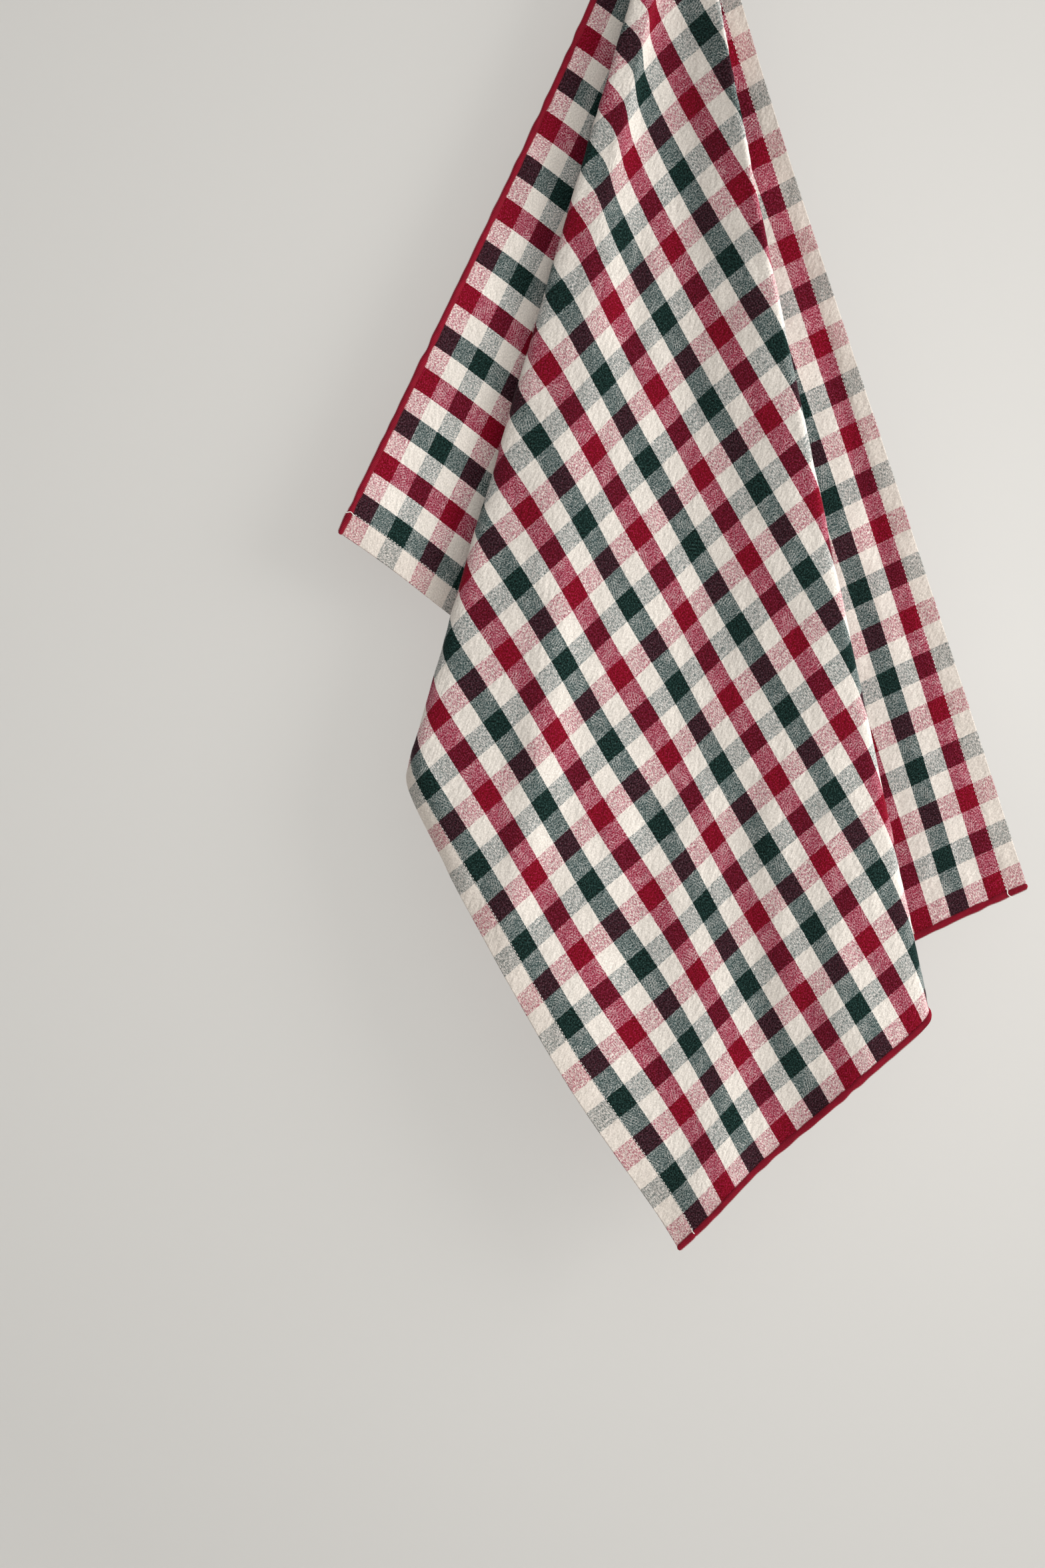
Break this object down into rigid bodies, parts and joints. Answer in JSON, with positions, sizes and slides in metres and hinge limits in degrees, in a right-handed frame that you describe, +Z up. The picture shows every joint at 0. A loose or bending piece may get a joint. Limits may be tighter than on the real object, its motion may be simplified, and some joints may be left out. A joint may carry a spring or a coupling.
{
  "type": "tea towel",
  "caption": "Gingham cotton tea towel hung from one corner, falling in soft folds like a cone, with a sewn edging along both short sides.",
  "frame": {"origin": "the hung corner of the cloth, where the hook or peg holds it", "axes": "+Z up, +X to the viewer's right, -Y towards the viewer; the wall side is +Y"},
  "size_m": [0.4345, 0.0678, 0.8909],
  "materials": {
    "gingham_cotton": "washed plain-weave cotton in crimson, dark green and cream checks, matt",
    "crimson_edging": "crimson overlocked cotton thread, matt"
  },
  "bodies": {
    "root": {"towel_cloth": "gingham_cotton", "lower_edging": "crimson_edging", "upper_edging": "crimson_edging"}
  },
  "joints": []
}
